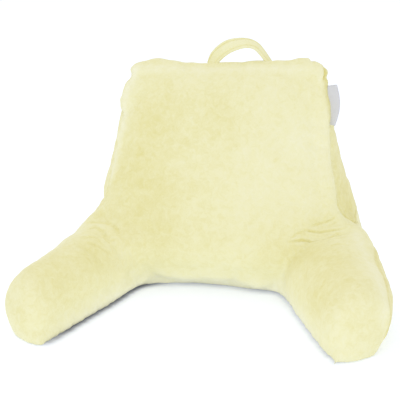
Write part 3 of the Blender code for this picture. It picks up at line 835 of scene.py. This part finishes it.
def painted_shadow_openness(places, contact):
    """One in the open, and less where a shadow is painted beside the cushion's inner edges."""
    near = KDTree(len(contact))
    for index, place in enumerate(contact):
        near.insert(place, index)
    near.balance()
    distance = np.array([near.find(place)[2] for place in places])
    inside = np.clip((places[:, 1] - FADE_FRONT[0]) / (FADE_FRONT[1] - FADE_FRONT[0]), 0.0, 1.0)
    inside *= np.clip((places[:, 1] - FADE_REAR[0]) / (FADE_REAR[1] - FADE_REAR[0]), 0.0, 1.0)
    inside *= np.clip((INNER_HALF - np.abs(places[:, 0])) / INNER_FADE, 0.0, 1.0)
    across = [shade.x for shade in PAINTED_SHADOWS]
    dark = np.interp(places[:, 0], across, [shade.dark for shade in PAINTED_SHADOWS])
    reach = np.interp(places[:, 0], across, [shade.reach for shade in PAINTED_SHADOWS])
    return 1.0 - dark * inside * np.exp(-((distance / reach) ** 2))


bpy.ops.object.select_all(action="DESELECT")
bpy.ops.mesh.primitive_grid_add(x_subdivisions=FLOOR_CELLS, y_subdivisions=FLOOR_CELLS, size=FLOOR_MIDDLE)
floor = bpy.context.active_object
floor.name = "studio_floor"
bpy.ops.object.mode_set(mode="EDIT")
bpy.ops.mesh.select_mode(type="EDGE")
bpy.ops.mesh.select_all(action="DESELECT")
bpy.ops.mesh.select_non_manifold()
bpy.ops.mesh.extrude_region_move()
bpy.ops.transform.resize(value=(FLOOR_STRETCH, FLOOR_STRETCH, 1.0))
bpy.ops.object.mode_set(mode="OBJECT")
floor_points = read_points(floor)
cushion_points = read_points(cushion)
contact_points = cushion_points[cushion_points[:, 2] < CONTACT_HEIGHT] * np.array((1.0, 1.0, 0.0))
keep(floor, "painted_shadow_openness", painted_shadow_openness(floor_points, contact_points))
write_points(floor, floor_points - np.array((0.0, 0.0, FLOOR_DROP)))

floor_white, floor_output = new_material("white_sweep")
painted_shadow_node = node(floor_white, "ShaderNodeAttribute", attribute_name="painted_shadow_openness")
# painted shadow: the floor's white is mixed towards black beside the cushion's inner edges
floor_painted_shadow_tone = node(floor_white, "ShaderNodeValToRGB", {"Fac": painted_shadow_node.outputs["Fac"]})
floor_painted_shadow_tone.color_ramp.elements[0].color = colour("#000000")
floor_painted_shadow_tone.color_ramp.elements[1].color = colour("#F1F4FB")
# the glow is dimmed there as well, as part of the painted shadow
floor_glow = node(floor_white, "ShaderNodeMath", {0: painted_shadow_node.outputs["Fac"]}, operation="MULTIPLY")
floor_glow.inputs[1].default_value = GLOW
floor_shader = node(floor_white, "ShaderNodeBsdfPrincipled",
                    {"Base Color": floor_painted_shadow_tone.outputs["Color"], "Emission Strength": floor_glow.outputs[0]},
                    Roughness=0.9, Emission_Color=colour("#DFE6FF"), Specular_IOR_Level=0.0)
floor_white.node_tree.links.new(floor_shader.outputs["BSDF"], floor_output.inputs["Surface"])
floor.data.materials.append(floor_white)
print("floor points", len(floor_points))

# %% [markdown]
# The carry handle is a tube of the same plush, pressed flat and stitched along its length, with
# both ends sewn into the top. A strip of squares as long as the strap is laid along the arch,
# turned so that its broad side faces the front on the left, and then given its thickness. The
# thickness is least along the stitch lines and at the edges, so the plush bulges between. Places
# across the strap are shares of its width, counted from its middle.

# %% The strap handle
STRAP_WIDTH = 0.029
STRAP_THICKNESS = 0.0085
STRAP_BACK = 0.2018
Bend = namedtuple("Bend", "x rise turn")
STRAP_BENDS = (
    Bend(-0.033, -0.005, 42.0),
    Bend(-0.021, 0.0145, 66.0),
    Bend(0.000, 0.0310, 72.0),
    Bend(0.023, 0.0385, 50.0),
    Bend(0.045, 0.0395, 30.0),
    Bend(0.063, 0.0310, 18.0),
    Bend(0.0775, 0.015, 12.0),
    Bend(0.092, -0.005, 10.0),
)
STRAP_LENGTHWISE = 110
STRAP_ACROSS = 16
STRAP_STEPS = 40
STRAP_TANGENT = 0.002
STITCH_LINES = (-0.30, 0.30)
STITCH_WIDTH = 0.05
STITCH_PINCH = 0.5
STRAP_EDGE_POWER = 4
STRAP_EDGE_LEAST = 0.12
STRAP_PAINTED_ROLL_LIGHT = 1.2
STITCH_PAINTED_SHADE = 3.4
STRAP_NAP = -0.10
STRAP_EDGE_NAP = 0.5
STRAP_EDGE_FROM = 0.2


def strap_line(tree):
    """The arch's middle line with its turn, from one foot to the other."""
    rows = []
    for bend in STRAP_BENDS:
        foot = tree.ray_cast(Vector((bend.x, STRAP_BACK, 1.0)), Vector((0.0, 0.0, -1.0)))[0]
        rows.append((bend.x, STRAP_BACK, foot.z + bend.rise, math.radians(bend.turn)))
    return smooth_path(rows, STRAP_STEPS)


def lay_strap(piece, line):
    """Lay a flat unit strip along the line and return its length."""
    lengths = np.linalg.norm(np.diff(line[:, :3], axis=0), axis=1)
    before = np.concatenate(([0.0], np.cumsum(lengths)))
    places = []
    for x, y, _ in read_points(piece):
        along = np.clip(x + 0.5, 0.0, 1.0) * before[-1]
        here, ahead, behind = (
            np.array([np.interp(s, before, column) for column in line.T])
            for s in (along, min(along + STRAP_TANGENT, before[-1]), max(along - STRAP_TANGENT, 0.0))
        )
        way = Vector((ahead - behind)[:3]).normalized()
        back = Vector((0.0, 1.0, 0.0))
        up = back.cross(way).normalized()
        wide = math.cos(here[3]) * back - math.sin(here[3]) * up
        places.append(here[:3] + y * STRAP_WIDTH * np.array(wide))
    write_points(piece, np.array(places))
    return before[-1]


def strap_fullness(across):
    """Share of the full thickness at a place across the strap, from -0.5 to 0.5."""
    edge = math.sqrt(max(1.0 - (2.0 * abs(across)) ** STRAP_EDGE_POWER, 0.0))
    stitched = sum(math.exp(-(((across - line) / STITCH_WIDTH) ** 2)) for line in STITCH_LINES)
    return max(STRAP_EDGE_LEAST, edge * (1.0 - STITCH_PINCH * min(stitched, 1.0)))


bpy.ops.object.select_all(action="DESELECT")
bpy.ops.mesh.primitive_grid_add(x_subdivisions=STRAP_LENGTHWISE, y_subdivisions=STRAP_ACROSS, size=1.0)
strap = bpy.context.active_object
strap.name = "strap_handle"
across_strap = read_points(strap)[:, 1]
full = strap.vertex_groups.new(name="fullness")
for index, across in enumerate(across_strap):
    full.add([index], strap_fullness(across), "REPLACE")
channel = np.min([np.abs(across_strap - line) for line in STITCH_LINES], axis=0)
# painted shade: deeper yellow along the stitch channels, paler on the plush that bulges between them
keep(strap, "fold_depth_for_painted_shade_mm", STRAP_PAINTED_ROLL_LIGHT - STITCH_PAINTED_SHADE * np.exp(-((channel / STITCH_WIDTH) ** 2)))
towards_edge = np.clip(2.0 * (across_strap - STRAP_EDGE_FROM), 0.0, 1.0)
keep(strap, "nap", STRAP_NAP + STRAP_EDGE_NAP * towards_edge)
strap_length = lay_strap(strap, strap_line(surface_of(cushion)))
apply(strap, "SOLIDIFY", thickness=STRAP_THICKNESS, offset=0.0, vertex_group=full.name,
      use_even_offset=False)
apply(strap, "SUBSURF", levels=1, render_levels=1)
strap.vertex_groups.clear()
strap.data.shade_smooth()
print("strap length", round(1000 * float(strap_length)), "mm")

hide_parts("carry_handle")
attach(strap, "root")

# %% [markdown]
# The side tab is a short length of woven tape, folded double, with both raw ends sewn into the
# side seam. A strip of squares is folded round its outer edge and then made as thick as
# tape. It bows out a little in the middle, because the cushion behind it bulges.

# %% The side tab
TAB_LOW = 0.342
TAB_HIGH = 0.417
TAB_FAN = (-0.0015, 0.004)
TAB_BEHIND = 0.004
TAB_ROOT = 0.2165
TAB_OUTER = 0.2352
TAB_BOW = 0.0080
BOW_MEAN = 0.64
TAB_CURL = 0.004
TAB_GAP = 0.0009
FOLD_SHARPNESS = 10.0
TAPE_THICKNESS = 0.0007
TAB_ROWS = 40
TAB_COLUMNS = 36


def tab_place(across, up):
    """Where a point of the flat strip goes: two layers that meet in a fold at the outer edge."""
    out = 1.0 - 2.0 * abs(across)
    layer = math.copysign(math.sqrt(min(1.0, FOLD_SHARPNESS * abs(across))), across)
    outer = TAB_OUTER + TAB_BOW * math.sin(math.pi * up)
    x = TAB_ROOT + out * (outer - TAB_ROOT)
    z = TAB_LOW + up * (TAB_HIGH - TAB_LOW)
    seam = seam_at(1, z)
    fan = TAB_FAN[0] + up * (TAB_FAN[1] - TAB_FAN[0])
    y = seam[1] + TAB_BEHIND + layer * TAB_GAP - TAB_CURL * out ** 2
    return (x, y, z + fan * out)


bpy.ops.object.select_all(action="DESELECT")
bpy.ops.mesh.primitive_grid_add(x_subdivisions=TAB_COLUMNS, y_subdivisions=TAB_ROWS, size=1.0)
tab = bpy.context.active_object
tab.name = "tape_tab"
write_points(tab, np.array([tab_place(x, y + 0.5) for x, y, _ in read_points(tab)]))
apply(tab, "SOLIDIFY", thickness=TAPE_THICKNESS, offset=0.0)
tab.data.shade_smooth()
tab_flat = (2.0 * (TAB_OUTER + BOW_MEAN * TAB_BOW - TAB_ROOT), TAB_HIGH - TAB_LOW)
print("tape", [round(1000 * size) for size in tab_flat], "mm flat")

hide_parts("side_tab")
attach(tab, "root")

# %% [markdown]
# Velour plush is a knitted cloth with a short cut pile, about 2 mm deep. The pile's tips catch
# the light and its depth is a deeper yellow, so wherever it is brushed the other way it reads as a
# cloudy patch. At the edges that turn away the tips show end on and glow, which is sheen. The
# patches are noise at the size that a hand leaves, 13 to 85 mm, and the pile itself is a bump
# drawn 3 mm coarse, because at its true size it would be lost between the picture's points.

# %% The plush
PILE_MM = 3.0
BRUSHED_MM = 13.0
CLOUD_MM = 85.0
Share = namedtuple("Share", "cloud brushed pile nap fold")
SHARE = Share(cloud=0.32, brushed=0.60, pile=0.22, nap=-0.42, fold=0.10)
BRUSHED_BUMP = 0.6


def per_metre(size_mm):
    """Noise scale whose features are about this size, on coordinates in metres."""
    return 1000.0 / size_mm


def weighed(material, terms, start):
    """A sum of sockets, each times its own weight, from a starting number."""
    total = None
    for socket, weight in terms:
        links = {0: socket} if total is None else {0: socket, 2: total}
        made = node(material, "ShaderNodeMath", links, operation="MULTIPLY_ADD")
        made.inputs[1].default_value = weight
        if total is None:
            made.inputs[2].default_value = start
        total = made.outputs[0]
    return total


def plush(name, deep, middle, tips):
    """Cut-pile cloth in three tones, from the pile's depth to its tips."""
    material, output = new_material(name)
    place = node(material, "ShaderNodeTexCoord").outputs["Object"]
    cloud = node(material, "ShaderNodeTexNoise", {"Vector": place}, Scale=per_metre(CLOUD_MM), Detail=2.0)
    brushed = node(material, "ShaderNodeTexNoise", {"Vector": place}, Scale=per_metre(BRUSHED_MM),
                   Detail=3.0, Roughness=0.6, Distortion=0.8)
    pile = node(material, "ShaderNodeTexNoise", {"Vector": place}, Scale=per_metre(PILE_MM), Detail=2.0)
    nap_and_shading = node(material, "ShaderNodeAttribute", attribute_name="nap")
    # painted shade and light: the fold depth makes narrow folds deeper and their rolls paler
    fold = node(material, "ShaderNodeAttribute", attribute_name="fold_depth_for_painted_shade_mm")
    even = 0.5 - 0.5 * (SHARE.cloud + SHARE.brushed + SHARE.pile)
    terms = ((cloud.outputs["Fac"], SHARE.cloud), (brushed.outputs["Fac"], SHARE.brushed),
             (pile.outputs["Fac"], SHARE.pile), (nap_and_shading.outputs["Fac"], SHARE.nap),
             (fold.outputs["Fac"], SHARE.fold))
    ramp = node(material, "ShaderNodeValToRGB", {"Fac": weighed(material, terms, even)})
    ramp.color_ramp.elements[0].color = colour(deep)
    ramp.color_ramp.elements[1].color = colour(tips)
    ramp.color_ramp.elements.new(0.5).color = colour(middle)
    height = weighed(material, ((pile.outputs["Fac"], 1.0), (brushed.outputs["Fac"], BRUSHED_BUMP)), 0.0)
    bump = node(material, "ShaderNodeBump", {"Height": height}, Strength=0.30, Distance=0.0016)
    cloth = node(material, "ShaderNodeBsdfPrincipled",
                 {"Base Color": ramp.outputs["Color"], "Normal": bump.outputs["Normal"]},
                 Roughness=0.95, IOR=1.45, Specular_IOR_Level=0.12, Sheen_Weight=0.35, Sheen_Roughness=0.45,
                 Sheen_Tint=colour("#FFFBE6"))
    material.node_tree.links.new(cloth.outputs["BSDF"], output.inputs["Surface"])
    return material


cover_plush = plush("velour_plush_cover", "#E2D98E", "#F0ECBE", "#F6F4D8")
strap_plush = plush("velour_plush_strap", "#DFD688", "#F0ECBC", "#F5F3D2")
cushion.data.materials.append(cover_plush)
strap.data.materials.append(strap_plush)
print("plush", cover_plush.name, strap_plush.name)

# %% [markdown]
# The tab is narrow polyester tape, woven so tightly that its cross ribs stand closer than half a
# millimetre. They are drawn 1.8 mm apart here, so that the picture can show them, on the strip's
# own map, because the ribs follow the tape round its fold. A wave texture turns by 20 radians over
# one unit of the map, so one of its waves takes up about a third of a unit.

# %% The woven tape
RIB_MM = 1.8
WAVE_PERIOD = 2.0 * math.pi / 20.0
tape, tape_output = new_material("woven_polyester_tape")
tape_map = node(tape, "ShaderNodeTexCoord").outputs["UV"]
ribs = node(tape, "ShaderNodeTexWave", {"Vector": tape_map}, bands_direction="Y", Distortion=0.3,
            Detail=1.0)
ribs.inputs["Scale"].default_value = WAVE_PERIOD * 1000.0 * tab_flat[1] / RIB_MM
tape_tone = node(tape, "ShaderNodeValToRGB", {"Fac": ribs.outputs["Fac"]})
tape_tone.color_ramp.elements[0].color = colour("#D1D1D3")
tape_tone.color_ramp.elements[1].color = colour("#DFDFE0")
tape_bump = node(tape, "ShaderNodeBump", {"Height": ribs.outputs["Fac"]}, Strength=0.4, Distance=0.0004)
tape_shader = node(tape, "ShaderNodeBsdfPrincipled",
                   {"Base Color": tape_tone.outputs["Color"], "Normal": tape_bump.outputs["Normal"]},
                   Roughness=0.6, IOR=1.5, Specular_IOR_Level=0.3, Sheen_Weight=0.1)
tape.node_tree.links.new(tape_shader.outputs["BSDF"], tape_output.inputs["Surface"])
tab.data.materials.append(tape)
print("tape ribs every", RIB_MM, "mm")
